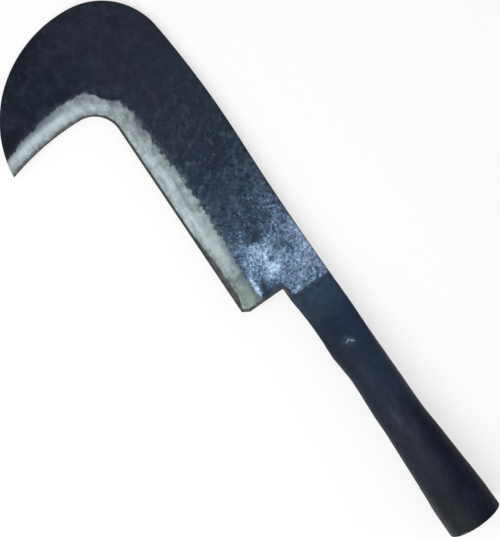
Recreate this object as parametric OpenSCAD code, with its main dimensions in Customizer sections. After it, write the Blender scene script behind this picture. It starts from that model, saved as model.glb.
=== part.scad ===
// Billhook: a forged hooked blade with a laminated edge, on a handle socket rolled from sheet iron.
// Millimetres. X runs along the handle axis from the open socket mouth to the blade,
// Y points to the cutting side, Z is square to the flat of the blade.
// The origin is the centre of the socket mouth.

/* [Blade] */
// Where the heel face of the blade stands
heel_x = 188.6; // [186:0.1:192]
// Thickness of the blade at the heel
heel_thickness = 5.0; // [4.6:0.1:6]
// Thickness of the blade at the nose of the hook
nose_thickness = 4.2; // [3.8:0.1:4.6]
// Angle between each ground face and the flat of the blade, degrees
grind_angle = 8.3; // [7.5:0.1:10]
// Thickness left along the cutting edge
edge_thickness = 0.6; // [0.4:0.1:1]
// The cut corner where the edge meets the heel: its length along the edge, and down the heel
heel_cut_x = 2.8; // [1:0.2:4]
heel_cut_y = 4.6; // [1:0.2:7]

/* [Hard steel insert] */
// Thickness of the steel strip
steel_thickness = 2.4; // [1.6:0.1:3]
// Depth of the slot that holds the strip, from the cutting edge
steel_depth = 12; // [9:0.5:16]

/* [Tang] */
// Width of the tang inside the socket
tang_width = 25.2; // [22:0.2:26]
// Where the tang ends inside the socket
tang_end_x = 158; // [156:0.5:165]

/* [Handle socket] */
// Radius of the bore at the open mouth
bore_r = 16.0; // [15:0.1:16.5]
// Length of the straight part of the bore
bore_length = 20; // [10:1:30]
// Thickness of the rolled sheet
sheet = 2.4; // [1.8:0.1:3]
// Width of the open seam along the back
seam_gap = 1.0; // [0.6:0.1:2]
// Where the socket ends on the blade
neck_end_x = 179.4; // [176:0.1:184]

/* [Welds] */
// Length of each bead across the neck, measured along the blade
neck_bead = 1.6; // [1:0.1:2.4]
// Radius of the bead that closes the seam
seam_bead_r = 1.7; // [1.2:0.1:2.2]

/* [Hidden] */
$fn = 96;
past = 1.5;       // how far a blank runs past the finished face
beyond = 5;       // how far a cutting tool runs past the cutting edge
lap = 0.05;       // how far neighbouring legs of a cutting tool overlap
far = 8;          // half the height of a tool that has to clear the whole thickness

half_heel = heel_thickness / 2;
half_nose = nose_thickness / 2;
half_edge = edge_thickness / 2;
half_steel = steel_thickness / 2;
nose_x = 412;
tang_y = -0.5;    // middle of the tang, just off the handle axis
neck_lip = 1;     // how far the socket's end stands above the blade

// A path is a chain of tangent legs. A leg [0, length] is straight, and [radius, angle] is an arc
// that turns left when its angle is positive.
edge_start = [184, 45];
edge_heading = -1.3;
edge_path = [[0, 146], [18.4, 87.6], [166.7, 20.5]];
outer_start = [neck_end_x, -15.05];
outer_heading = -0.2;
spine_bend_x = 201;
outer_path = [[0, spine_bend_x - neck_end_x], [1755, -2.6], [617, 8.3], [45, 78], [83, 44.7], [74, 46.8]];

function heading(a) = [cos(a), sin(a)];
function left(a) = [-sin(a), cos(a)];
function leg_turn(leg) = leg[0] == 0 ? 0 : leg[1];
function leg_centre(p, a, leg) = p + sign(leg[1]) * leg[0] * left(a);
function leg_end(p, a, leg) =
    leg[0] == 0 ? p + leg[1] * heading(a)
                : leg_centre(p, a, leg) - sign(leg[1]) * leg[0] * left(a + leg[1]);
// The start point and heading of every leg
function leg_starts(path, p, a, i = 0) =
    i == len(path) ? []
                   : concat([[p, a]],
                            leg_starts(path, leg_end(p, a, path[i]), a + leg_turn(path[i]), i + 1));
// Points along a path, set off to its left by side
function path_points(path, p, a, side = 0, turn_step = 4) =
    let (starts = leg_starts(path, p, a))
    concat([p + side * left(a)],
           [for (i = [0 : len(path) - 1])
            let (leg = path[i], q = starts[i][0], b = starts[i][1],
                 steps = leg[0] == 0 ? 1 : ceil(abs(leg[1]) / turn_step + abs(leg[1]) * leg[0] / 1500))
            for (k = [1 : steps])
            leg[0] == 0 ? q + leg[1] * heading(b) + side * left(b)
                        : leg_end(q, b, [leg[0], leg[1] * k / steps]) + side * left(b + leg[1] * k / steps)]);

// Places a profile, drawn as [depth behind the edge, height], all along the cutting edge.
// Each leg runs on by lap at both ends, so that neighbouring legs leave nothing between them.
module along_edge() {
    starts = leg_starts(edge_path, edge_start, edge_heading);
    for (i = [0 : len(edge_path) - 1]) {
        leg = edge_path[i];
        p = starts[i][0];
        a = starts[i][1];
        if (leg[0] == 0) {
            translate(leg_end(p, a, leg) + lap * heading(a)) rotate([90, 0, a - 90])
                linear_extrude(leg[1] + 2 * lap) children();
        } else {
            turn_lap = lap / leg[0] * 180 / PI;
            translate(leg_centre(p, a, leg)) rotate([0, 0, a - 90 - turn_lap])
                rotate_extrude(angle = leg[1] + 2 * turn_lap) translate([leg[0], 0]) children();
        }
    }
}

// The blade's blank: its finished outline, with spare metal past the cutting edge
heel_top_y = edge_start[1] - 0.1;
shoulder_y = 15.2;
throat_points = path_points(edge_path, edge_start, edge_heading, past);
blade_points = concat(
    path_points(outer_path, outer_start, outer_heading),
    [for (i = [len(throat_points) - 2 : -1 : 1]) throat_points[i]],
    [[heel_x + heel_cut_x, heel_top_y], [heel_x, heel_top_y - heel_cut_y]],
    [[heel_x, shoulder_y + 1], [heel_x - 1, shoulder_y], [neck_end_x, shoulder_y]]);

module blade_blank() {
    translate([0, 0, -far]) linear_extrude(2 * far) polygon(blade_points);
}

module tang_bar(extra = 0) {
    translate([tang_end_x, tang_y - tang_width / 2, -half_heel])
        cube([neck_end_x - tang_end_x + extra, tang_width, heel_thickness]);
}

// Side view of the blade, thinner from the heel to the nose
module blade_taper() {
    translate([0, 200, 0]) rotate([90, 0, 0]) linear_extrude(300)
        polygon([[neck_end_x - past, -half_heel], [heel_x, -half_heel], [nose_x, -half_nose],
                 [nose_x, half_nose], [heel_x, half_heel], [neck_end_x - past, half_heel]]);
}

// What the grindstone takes off one face, and all that lies past the cutting edge
module grind_profile() {
    deep = 26;
    polygon([[-beyond, -far], [0, -far], [0, half_edge], [deep, half_edge + deep * tan(grind_angle)],
             [deep, far], [-beyond, far]]);
}

// The strip of hard steel let into the edge, before it is ground
module steel_strip() {
    outside = path_points(edge_path, edge_start, edge_heading, beyond - 1);
    inside = path_points(edge_path, edge_start, edge_heading, -steel_depth);
    translate([0, 0, -half_steel]) linear_extrude(steel_thickness)
        polygon(concat(inside, [for (i = [len(outside) - 1 : -1 : 0]) outside[i]]));
}

module grind_both_faces() {
    along_edge() grind_profile();
    mirror([0, 0, 1]) along_edge() grind_profile();
}

module blade_body() {
    color([0.16, 0.18, 0.22])
    difference() {
        union() {
            intersection() {
                blade_blank();
                blade_taper();
            }
            tang_bar(past);
        }
        grind_both_faces();
        steel_strip();
    }
}

module edge_steel() {
    color([0.72, 0.75, 0.73])
    difference() {
        intersection() {
            steel_strip();
            blade_blank();
        }
        grind_both_faces();
    }
}

// The socket is round from the mouth to round_end_x, and lofted from there to its flat neck
rim_chamfer = 0.6;
mouth_r = bore_r + sheet;
flare_end_x = 16;
taper_end_x = 74;
taper_end_r = 14.9;
round_end_x = 92;
round_end_r = 14.6;
joint_step = 0.15;    // the lofted neck starts this much inside the round part
// Sections of the neck: [x, middle y, half width, half thickness, squareness]
neck_sections = [
    [round_end_x, 0, round_end_r - joint_step, round_end_r - joint_step, 2],
    [104, -0.5, 14.3, 14.2, 2],
    [116, -0.8, 14.0, 13.8, 2],
    [126, -0.5, 14.4, 13.2, 2.1],
    [135, 0, 14.9, 11.8, 2.3],
    [147, -0.5, 14.5, 7.8, 3],
    [159, -0.7, 14.6, 5.2, 5],
    [170, -0.4, 14.9, 4.4, 7],
    [neck_end_x, 0.05, 15.15, half_heel + neck_lip, 9]];
// The hollow is one sheet smaller all round, down to the end of the tang
hollow_sections = concat(
    [for (s = neck_sections) if (s[0] < tang_end_x - 5) [s[0], s[1], s[2] - sheet, s[3] - sheet, s[4]]],
    [[tang_end_x, tang_y, tang_width / 2 - 0.3, half_heel - 0.1, 6]]);
section_points = 44;

function squash(v, n) = sign(v) * pow(abs(v), 2 / n);
function section_ring(s) =
    [for (k = [0 : section_points - 1]) let (t = 360 * k / section_points)
     [s[0], s[1] + s[2] * squash(cos(t), s[4]), s[3] * squash(sin(t), s[4])]];

// A closed solid through a list of sections
module loft(sections) {
    n = section_points;
    m = len(sections);
    points = [for (s = sections) each section_ring(s)];
    sides = [for (i = [0 : m - 2]) for (k = [0 : n - 1])
             let (a = i * n + k, b = i * n + (k + 1) % n)
             each [[a, a + n, b + n], [a, b + n, b]]];
    polyhedron(points, concat(sides, [[for (k = [0 : n - 1]) k]],
                              [[for (k = [n - 1 : -1 : 0]) (m - 1) * n + k]]));
}

// Turns an outline drawn as [x, radius] about the handle axis
module round_about_x(outline) {
    rotate([90, 0, 90]) rotate_extrude() polygon([for (p = outline) [p[1], p[0]]]);
}

module socket_outside() {
    round_about_x([[0, 0], [0, mouth_r - rim_chamfer], [rim_chamfer, mouth_r], [flare_end_x, mouth_r],
                   [taper_end_x, taper_end_r], [round_end_x, round_end_r], [round_end_x, 0]]);
    loft(neck_sections);
}

module socket_hollow() {
    round_about_x([[-past, 0], [-past, bore_r], [bore_length, bore_r],
                   [taper_end_x, taper_end_r - sheet], [round_end_x, round_end_r - sheet],
                   [round_end_x, 0]]);
    loft(hollow_sections);
}

seam_end_x = 102;
seam_weld_x = 76;
seam_bead_z = -14;
seam_root_z = -10;    // well inside the hollow, so that the seam opens into it

module seam_cut() {
    translate([-past, -seam_gap / 2, -mouth_r - past])
        cube([seam_end_x + past, seam_gap, mouth_r + past + seam_root_z]);
}

// The bead lies along the back, where the sheet's two edges meet
module seam_bead() {
    length = seam_end_x - seam_weld_x;
    translate([seam_weld_x, 0, seam_bead_z]) rotate([0, 89, 0])
        cylinder(r = seam_bead_r, h = length);
    translate([seam_weld_x, -seam_gap / 2, seam_bead_z])
        cube([length, seam_gap, seam_bead_r + 1]);
}

module handle_socket() {
    color([0.13, 0.14, 0.17])
    difference() {
        socket_outside();
        socket_hollow();
        tang_bar(past);
        seam_cut();
        seam_bead();
    }
}

module seam_weld() {
    color([0.24, 0.24, 0.26])
    difference() {
        seam_bead();
        socket_hollow();
    }
}

// A bead across one face, from the end of the socket down to the blade
neck_bead_width = 28.8;

module neck_bead_shape() {
    translate([neck_end_x, neck_bead_width / 2, half_heel]) rotate([90, 0, 0]) linear_extrude(neck_bead_width)
        polygon([[0, 0], [neck_bead, 0], [0.4 * neck_bead, 0.7 * neck_lip], [0, 0.95 * neck_lip]]);
}

module neck_weld_front() {
    color([0.3, 0.31, 0.34]) neck_bead_shape();
}

module neck_weld_back() {
    color([0.3, 0.31, 0.34]) mirror([0, 0, 1]) neck_bead_shape();
}

blade_body();
edge_steel();
handle_socket();
neck_weld_front();
neck_weld_back();
seam_weld();
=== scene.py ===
"""Forged billhook with a laminated ground edge and a handle socket rolled from sheet iron.

Lengths are in millimetres, apart from those of the lamp and the camera, which are in metres.
X runs from the open socket mouth to the blade, Y points to the cutting side, Z is square to the flat.
"""
import math

import bmesh
import bpy
import numpy as np
from mathutils import Matrix
from mathutils.kdtree import KDTree


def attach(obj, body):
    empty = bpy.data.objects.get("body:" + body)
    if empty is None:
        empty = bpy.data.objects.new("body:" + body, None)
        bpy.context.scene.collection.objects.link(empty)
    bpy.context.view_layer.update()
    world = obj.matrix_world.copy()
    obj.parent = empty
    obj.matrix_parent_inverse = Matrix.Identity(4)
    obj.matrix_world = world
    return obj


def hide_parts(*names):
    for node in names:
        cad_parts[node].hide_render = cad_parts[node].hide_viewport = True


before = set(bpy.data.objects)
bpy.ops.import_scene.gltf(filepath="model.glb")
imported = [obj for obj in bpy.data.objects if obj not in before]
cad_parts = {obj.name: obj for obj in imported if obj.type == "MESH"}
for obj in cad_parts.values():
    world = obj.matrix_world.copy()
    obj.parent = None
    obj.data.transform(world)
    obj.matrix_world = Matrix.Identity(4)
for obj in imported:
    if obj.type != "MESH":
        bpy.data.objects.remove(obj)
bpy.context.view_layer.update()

MM = 0.001
FRONT, BACK = 1, -1
SIDES = (FRONT, BACK)

# Blade, as in the CAD source
HEEL_X = 188.6
HALF_HEEL, HALF_NOSE = 2.5, 2.1
NOSE_X = 412.0
HALF_EDGE = 0.3
GRIND_SLOPE = math.tan(math.radians(8.3))
HEEL_TOP_Y = 44.9
HEEL_CUT_X, HEEL_CUT_Y = 2.8, 4.6
SHOULDER_Y, SHOULDER_R = 15.2, 1.0
NECK_END_X = 179.4
TANG_END_X = 158.0
TANG_Y = -0.5
TANG_HALF_WIDTH = 12.6
EDGE_START = (184.0, 45.0)
EDGE_HEADING = -1.3
EDGE_LEGS = [(0, 146), (18.4, 87.6), (166.7, 20.5)]
OUTER_START = (NECK_END_X, -15.05)
OUTER_HEADING = -0.2
OUTER_LEGS = [(0, 201 - NECK_END_X), (1755, -2.6), (617, 8.3), (45, 78), (83, 44.7), (74, 46.8)]

# Surface of the blade that only the scene has
LAMINATION_DEPTH = 6.2  # where the steel's face ends, from the cutting edge
LAMINATION_SWING = 0.35
SHARP_HALF = 0.12  # half the thickness left at the very edge
FACET_CREASE = 0.05  # rounding between the facet and the ground face
BORDER_CREASE = 0.07  # rounding between the ground face and the forged face
FORGED_DROP = 0.05  # how far the forged face lies under its smooth form
FACE_SWELL = 0.07
DENT_DEPTH = 0.016
BARE_DENT_DEPTH = 0.05  # what bare metal adds
GRIND_SWELL = 0.035
BEAK_THINNING = 0.5
BITE_DEPTH = 0.85
RIM_ROUNDING = 0.9
HEEL_BEVEL = 1.9  # width of the worn bevel down the heel
HEEL_BEVEL_DROP = 0.8

# Rows of points from the edge inwards, as parts of their zone
FACE_STEP = 0.85
STEEL_ROWS = np.array([0, 0.18, 0.5, 0.95, 1.5, 2.1, 2.8, 3.6, 4.4, 5.3, 6.2]) / 6.2
BAND_ROWS = np.linspace(0, 1, 15)[1:]
FORGED_ROWS = np.linspace(0, 1, 51)[1:]
RIM_ROWS = np.array([0.35, 0.6, 0.78, 0.9, 0.97, 1.0])
SHOULDER_ROWS_Y = (SHOULDER_Y + SHOULDER_R, 16.0, 15.7, SHOULDER_Y)
SLOT_ROWS = 7  # how many rows of the band lie over the slot
BAND_ZONE, BAND_ZONE_SHARE = 10.8, 0.45
RIM_ZONE, RIM_ZONE_SHARE = 1.3, 0.25
CORNER_STATIONS = 9
TIP_HALVINGS = 30

# Handle socket, as in the CAD source
BORE_R = 16.0
BORE_LENGTH = 20.0
SHEET = 2.4
SEAM_GAP = 1.0
SEAM_END_X = 102.0
MOUTH_R = BORE_R + SHEET
CAVITY_WIDE, CAVITY_HIGH, CAVITY_SQUARENESS = 12.45, 2.42, 9  # half sizes
# x, middle y, half width, half thickness, squareness
SOCKET_SECTIONS = [
    (0, 0, MOUTH_R, MOUTH_R, 2), (16, 0, MOUTH_R, MOUTH_R, 2), (74, 0, 14.9, 14.9, 2),
    (92, 0, 14.55, 14.55, 2), (104, -0.5, 14.3, 14.2, 2), (116, -0.8, 14.0, 13.8, 2),
    (126, -0.5, 14.4, 13.2, 2.1), (135, 0, 14.9, 11.8, 2.3), (147, -0.5, 14.5, 7.8, 3),
    (159, -0.7, 14.6, 5.2, 5), (170, -0.4, 14.9, 4.4, 7), (NECK_END_X, 0.05, 15.15, 3.5, 9)]

# Surface of the socket that only the scene has
SECTION_STEP = 0.25
EASING_STEPS = 24  # half the stretch over which a bend is eased
RING_POINTS = 150
SEAM_TURN = -math.pi / 2  # where the seam lies round the ring
SEAM_CREASE = 0.05  # half its width where closed, in radians
SEAM_CREASE_DEPTH = 0.5
STRIKE_DEPTH = 0.32
MOUTH_FLARE = 0.25
CLOSING_LENGTH = 14  # over which the hollow narrows down to the tang
CLOSED_HALF_WIDTH, CLOSED_HALF_HEIGHT = 12.3, 2.4
OPEN_HEIGHT = 40  # left over the tang where the hollow is still open

# Welds
NECK_BEAD_HALF = 14.4
NECK_BEAD_RISE = 0.93
NECK_BEAD_REACH = 1.56
NECK_BEAD_SINK = 0.35
SEAM_BEAD_X = (76.05, 101.9)
SEAM_BEAD_MIDDLE, SEAM_BEAD_HALF = 89, 13.05
SEAM_BEAD_R = 1.62
SEAM_BEAD_START_X, SEAM_BEAD_START_Z = 76, -14
SEAM_BEAD_SLOPE = math.tan(math.radians(1))
BEAD_SMOOTH_BELOW = 60  # degrees

# Floor, as the tool lies on the mouth's rim and the nose: x and z of its lowest points
FLOOR_LOW = (16.0, -18.45)
FLOOR_HIGH = (410.0, -2.2)
FLOOR_MIDDLE_X, FLOOR_HALF = 200, 3000
FLOOR_COLOUR = (0.8, 0.8, 0.8, 1)
FLOOR_SEEN_COLOUR = (0.42, 0.42, 0.42, 1)

# Light and camera, in metres
LAMP_PLACE = (0.08, 0.60, 1.02)
LAMP_TARGET = (0.2, 0.0, 0.0)
CAMERA_PLACE = (0.2109, 0.0247, 0.741)
CAMERA_RIGHT = (-0.57626, -0.81726, 0.0)
CAMERA_UP = (0.81726, -0.57626, 0.0)


# Plain mathematics

def ease(value, low, high):
    """Goes smoothly from 0 to 1 between two limits."""
    t = np.clip((value - low) / (high - low), 0, 1)
    return t * t * (3 - 2 * t)


def plateau(value, low, rise, fall, high):
    """Rises from 0 to 1 between the first two limits and falls back between the last two."""
    return ease(value, low, rise) * (1 - ease(value, fall, high))


def soft_min(a, b, width):
    """The smaller of two heights, with the crease between them rounded over width."""
    h = np.clip(0.5 + 0.5 * (b - a) / width, 0, 1)
    return b * (1 - h) + a * h - width * h * (1 - h)


def hill(x, y, centre, size, turn=0.0):
    """A smooth hill of height 1, with its half sizes along and across a direction."""
    c, s = math.cos(math.radians(turn)), math.sin(math.radians(turn))
    dx, dy = x - centre[0], y - centre[1]
    return np.exp(-((dx * c + dy * s) / size[0]) ** 2 - ((dy * c - dx * s) / size[1]) ** 2)


def hills(x, y, table, start=0.0):
    """Several hills added up, each with its height, centre, half sizes and a turn if it has one."""
    return sum((height * hill(x, y, *form) for height, *form in table), start)


class Waves:
    """A smooth seeded field over a plane, mostly between -1 and 1."""

    COUNT = 30

    def __init__(self, seed, shortest, longest):
        rng = np.random.default_rng(seed)
        length = shortest * (longest / shortest) ** rng.random(self.COUNT)
        angle = rng.random(self.COUNT) * 2 * math.pi
        self.kx = 2 * math.pi / length * np.cos(angle)
        self.ky = 2 * math.pi / length * np.sin(angle)
        self.phase = rng.random(self.COUNT) * 2 * math.pi
        self.weight = length / math.sqrt((length ** 2).sum())

    def __call__(self, x, y):
        total = np.zeros(np.broadcast(x, y).shape)
        for kx, ky, phase, weight in zip(self.kx, self.ky, self.phase, self.weight):
            total += weight * np.sin(kx * x + ky * y + phase)
        return total


class Path:
    """Tangent legs: (0, length) is straight, (radius, degrees) an arc, to the left if positive."""

    def __init__(self, start, heading, legs):
        self.legs = []
        point, angle, run = np.array(start, float), math.radians(heading), 0.0
        for radius, value in legs:
            turn = 0.0 if radius == 0 else math.radians(value)
            length = value if radius == 0 else radius * abs(turn)
            self.legs.append((run, length, point, angle, turn))
            point = self.on_leg(self.legs[-1], np.array([run + length]))[0][0]
            angle += turn
            run += length
        self.length = run

    @staticmethod
    def on_leg(leg, runs):
        first, length, point, angle, turn = leg
        part = runs - first
        if turn == 0:
            ahead = np.array([math.cos(angle), math.sin(angle)])
            return point + part[:, None] * ahead, np.full(len(runs), angle)
        radius = length / turn
        angles = angle + part / radius
        centre = point + radius * np.array([-math.sin(angle), math.cos(angle)])
        return centre - radius * np.stack([-np.sin(angles), np.cos(angles)], 1), angles

    def at(self, runs):
        """Points and headings at these distances along the path."""
        runs = np.asarray(runs, float)
        points, angles = np.zeros((len(runs), 2)), np.zeros(len(runs))
        for i, leg in enumerate(self.legs):
            here = runs >= leg[0] if i else np.full(len(runs), True)
            points[here], angles[here] = self.on_leg(leg, runs[here])
        return points, angles

    def measure(self, x, y):
        """How far along the path each point lies, and how far to the path's right."""
        along, right = np.zeros_like(x), np.zeros_like(x)
        for i, (first, length, point, angle, turn) in enumerate(self.legs):
            if turn == 0:
                dx, dy = x - point[0], y - point[1]
                run = first + dx * math.cos(angle) + dy * math.sin(angle)
                off = dx * math.sin(angle) - dy * math.cos(angle)
            else:
                radius = length / turn
                dx = x - (point[0] - radius * math.sin(angle))
                dy = y - (point[1] + radius * math.cos(angle))
                ahead = np.arctan2(dy, dx) + math.pi / 2 - angle - turn / 2
                ahead = (ahead + math.pi) % (2 * math.pi) - math.pi + turn / 2
                run = first + ahead * radius
                off = np.hypot(dx, dy) - radius
            here = run >= first if i else np.full(x.shape, True)
            along = np.where(here, run, along)
            right = np.where(here, off, right)
        return along, right


edge = Path(EDGE_START, EDGE_HEADING, EDGE_LEGS)
outer = Path(OUTER_START, OUTER_HEADING, OUTER_LEGS)
outer_line = outer.at(np.arange(0, outer.length, 0.2))[0]
HEEL_RUN = (HEEL_X - EDGE_START[0]) / math.cos(math.radians(EDGE_HEADING))


# The blade's surface

def wave_pair(seed, shortest, longest):
    """One field for the front and another for the back."""
    return {FRONT: Waves(seed, shortest, longest), BACK: Waves(seed + 1, shortest, longest)}


face_waves = wave_pair(11, 14, 60)
dent_waves = wave_pair(21, 3.5, 9)
grind_waves = wave_pair(41, 9, 45)
lamination_waves = Waves(51, 10, 60)
# Varies the silvery cover of the back, which is bare metal and painted glare alike
glare_and_rubbed_waves = Waves(71, 7, 32)

# How much more, or less, of the scale is painted silvery, partly metal bared by rubbing and partly a
# painted reflection of glare: hills over x and y
GLARE_AND_RUBBED_PATCHES = [
    (0.66, (202, 13.5), (5.5, 7), 20), (0.30, (213, 22), (9, 4), -15), (0.6, (220, 13.5), (2.2, 4.5), -20),
    (0.50, (213, 13), (6, 6)), (0.9, (199.5, 28.8), (6.8, 1.6)), (0.32, (206, -12.5), (14, 3), 4),
    (0.32, (183.2, 6.5), (2, 3.6)), (-0.4, (212, 29.6), (10, 1.4), -3), (0.18, (193, -4), (9, 8)),
    (0.25, (236, -8), (12, 4), 5), (-0.65, (186, 14.2), (6, 2.2)), (-0.55, (190.5, 24.5), (2.2, 6)),
    (-0.75, (195, 23.8), (6.5, 2.8), -12), (-0.35, (192, 17.5), (5, 2), 25), (-0.25, (196, 15.5), (2.5, 4)),
    (-0.50, (208.5, 10.5), (1.2, 2.5), 10), (-0.45, (226, 11), (5, 5)), (-0.15, (212, -2), (7, 3), 15),
    (-0.15, (262, 15), (14, 8)), (0.2, (351.9, 33.1), (8, 4), 55)]

# Where the ground face is flatter or steeper: hills along the edge and into the blade, in groups
SLOPE_GROUPS = [
    [(-0.09, (80, 14), (18, 40))],
    [(-0.06, (174, 14), (9, 40)), (-0.15, (166, 14), (5, 40))],
    [(-0.11, (189, 14), (9, 40)), (0.08, (206, 14), (6, 40))]]

# The shallow bite in the forged face at the throat: a hill over x and y
THROAT_BITE = ((351.9, 32.9), (8.8, 4.8), 55)


def facet_width(along):
    """Width of the steeper facet at the very edge, widest near the heel and on the beak."""
    near_heel = plateau(along, 7, 18, 34, 74)
    return 1.45 + 0.4 * ease(along, 6, 14) + 2.4 * near_heel + 1.0 * ease(along, 160, 182)


def silver_cover(x, y, side):
    """How much of the dark scale is painted silvery, most of it near the heel: partly metal bared by
    rubbing, partly a painted reflection of glare.
    """
    cover = 0.80 - 0.36 * ease(x, 214, 238) - 0.44 * ease(x, 238, 300)
    if side == FRONT:
        cover = hills(x, y, GLARE_AND_RUBBED_PATCHES, cover)
    else:
        cover = cover * (0.9 + 0.45 * glare_and_rubbed_waves(x, y))
    return np.clip(cover, 0, 1.6) * ease(x, 180.7, 181.6)


def blade_heights(x, y, side):
    """Height of the forged face and of the ground face over the middle plane."""
    along, depth = edge.measure(x, y)
    taper = HALF_HEEL - (HALF_HEEL - HALF_NOSE) * np.clip((x - HEEL_X) / (NOSE_X - HEEL_X), 0, 1)
    thinner = BEAK_THINNING * ease(along, 196, 233)
    dents = BARE_DENT_DEPTH * np.clip(silver_cover(x, y, FRONT), 0, 1) + DENT_DEPTH
    forged = taper - thinner - FORGED_DROP - FACE_SWELL * face_waves[side](x, y)
    forged = forged - dents * np.abs(dent_waves[side](x, y))
    if side == FRONT:
        forged = forged - BITE_DEPTH * ease(hill(x, y, *THROAT_BITE), 0.2, 0.6)
    slope = GRIND_SLOPE * (1 - 0.10 * plateau(along, 22, 46, 110, 136))
    for group in SLOPE_GROUPS:
        slope = slope * hills(along, depth, group, 1)
    swell = GRIND_SWELL * grind_waves[side](along * 0.5, depth * 1.6) * (depth > 0)
    ground = HALF_EDGE + depth * slope + swell
    width = facet_width(along)
    facet = SHARP_HALF + depth * (GRIND_SLOPE + (HALF_EDGE - SHARP_HALF) / width)
    ground = np.where(depth < 3 * width, soft_min(ground, facet, FACET_CREASE), ground)
    return forged, ground


def heel_distance(x, y):
    """How far a point of the blade lies from the heel's outline, its cut corner and its shoulder."""
    size = math.hypot(HEEL_CUT_X, HEEL_CUT_Y)
    to_cut = ((x - HEEL_X) * HEEL_CUT_Y - (y - HEEL_TOP_Y + HEEL_CUT_Y) * HEEL_CUT_X) / size
    past_shoulder = np.maximum(x - HEEL_X + SHOULDER_R, 0)
    to_shoulder = np.hypot(past_shoulder, y - SHOULDER_Y - SHOULDER_R) - SHOULDER_R
    distance = np.where(y < SHOULDER_Y + SHOULDER_R, to_shoulder, np.minimum(x - HEEL_X, to_cut))
    return np.maximum(distance, 0)


def finished_height(x, y, rim, side):
    """Height of the face with its rounded outer rim, rim being the distance to it, and the heel's bevel."""
    forged, ground = blade_heights(x, y, side)
    height = soft_min(forged, ground, BORDER_CREASE)
    radius = np.minimum(RIM_ROUNDING, 0.4 * height)
    inside = np.clip(rim / np.maximum(radius, 1e-6), 0, 1)
    rounded = height - radius * (1 - np.sqrt(np.clip(1 - (1 - inside) ** 2, 0, 1)))
    bevel = HEEL_BEVEL * (1 + 0.2 * np.sin(y * 0.9 + 1.4 * np.sin(y * 0.31)))
    part = np.clip(1 - heel_distance(x, y) / bevel, 0, 1)
    drop = np.minimum(HEEL_BEVEL_DROP, 0.4 * height)
    return np.minimum(rounded, height - drop * (0.8 * part + 0.2 * part ** 6))


def first_crossing(points, directions, line):
    """Distance from each point along its direction to a polyline, and the sine of the angle there."""
    a, b = line[:-1], line[1:]
    step = b - a
    lengths, sines = np.zeros(len(points)), np.zeros(len(points))
    for i, (p, d) in enumerate(zip(points, directions)):
        across = d[0] * step[:, 1] - d[1] * step[:, 0]
        away = a - p
        t = (away[:, 0] * step[:, 1] - away[:, 1] * step[:, 0]) / across
        u = (away[:, 0] * d[1] - away[:, 1] * d[0]) / across
        good = np.nonzero((u >= 0) & (u < 1) & (t > -0.3))[0]
        k = good[np.argmin(t[good])] if len(good) else 0
        lengths[i] = max(t[k], 0.0) if len(good) else 0.0
        sines[i] = abs(across[k]) / np.hypot(*step[k])
    return lengths, sines


def station_lines(runs):
    """Points along the edge, the direction into the blade, its width there and the rim's slant."""
    points, angles = edge.at(runs)
    turn = ease(runs, HEEL_RUN, HEEL_RUN + 35)
    angles = np.where(runs < edge.legs[1][0], math.radians(EDGE_HEADING) * turn, angles)
    into = np.stack([np.sin(angles), -np.cos(angles)], 1)
    width, slant = first_crossing(points, into, outer_line)
    return points, into, width, slant


def blade_stations():
    """Stations along the edge, spaced so that neither the edge nor the outer rim is coarse."""
    fine = np.arange(HEEL_RUN, edge.length + 3, 0.1)
    width = station_lines(fine)[2]
    tip = np.argmax(width <= 0) if (width <= 0).any() else len(fine) - 1
    low, high = fine[tip - 1], fine[tip]
    for _ in range(TIP_HALVINGS):
        middle = (low + high) / 2
        if station_lines(np.array([middle]))[2][0] > 0:
            low = middle
        else:
            high = middle
    fine = np.concatenate([fine[:tip], [low]])
    points, into, width, _ = station_lines(fine)
    rim = points + into * width[:, None]
    edge_step = np.diff(fine)
    rim_step = np.hypot(*np.diff(rim, axis=0).T)
    measure = np.concatenate([[0], np.cumsum(np.maximum(edge_step, rim_step))])
    count = int(measure[-1] / FACE_STEP)
    even = np.interp(np.linspace(0, measure[-1], count), measure, fine)
    corner = np.linspace(0, HEEL_CUT_X, CORNER_STATIONS) / math.cos(math.radians(EDGE_HEADING))
    corner_runs = HEEL_RUN + corner
    return np.concatenate([corner_runs, even[even > corner_runs[-1] + 0.4]])


def lamination_depth(runs):
    """How far into the blade the steel's face reaches."""
    return LAMINATION_DEPTH + LAMINATION_SWING * lamination_waves(runs, 0 * runs)


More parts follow.
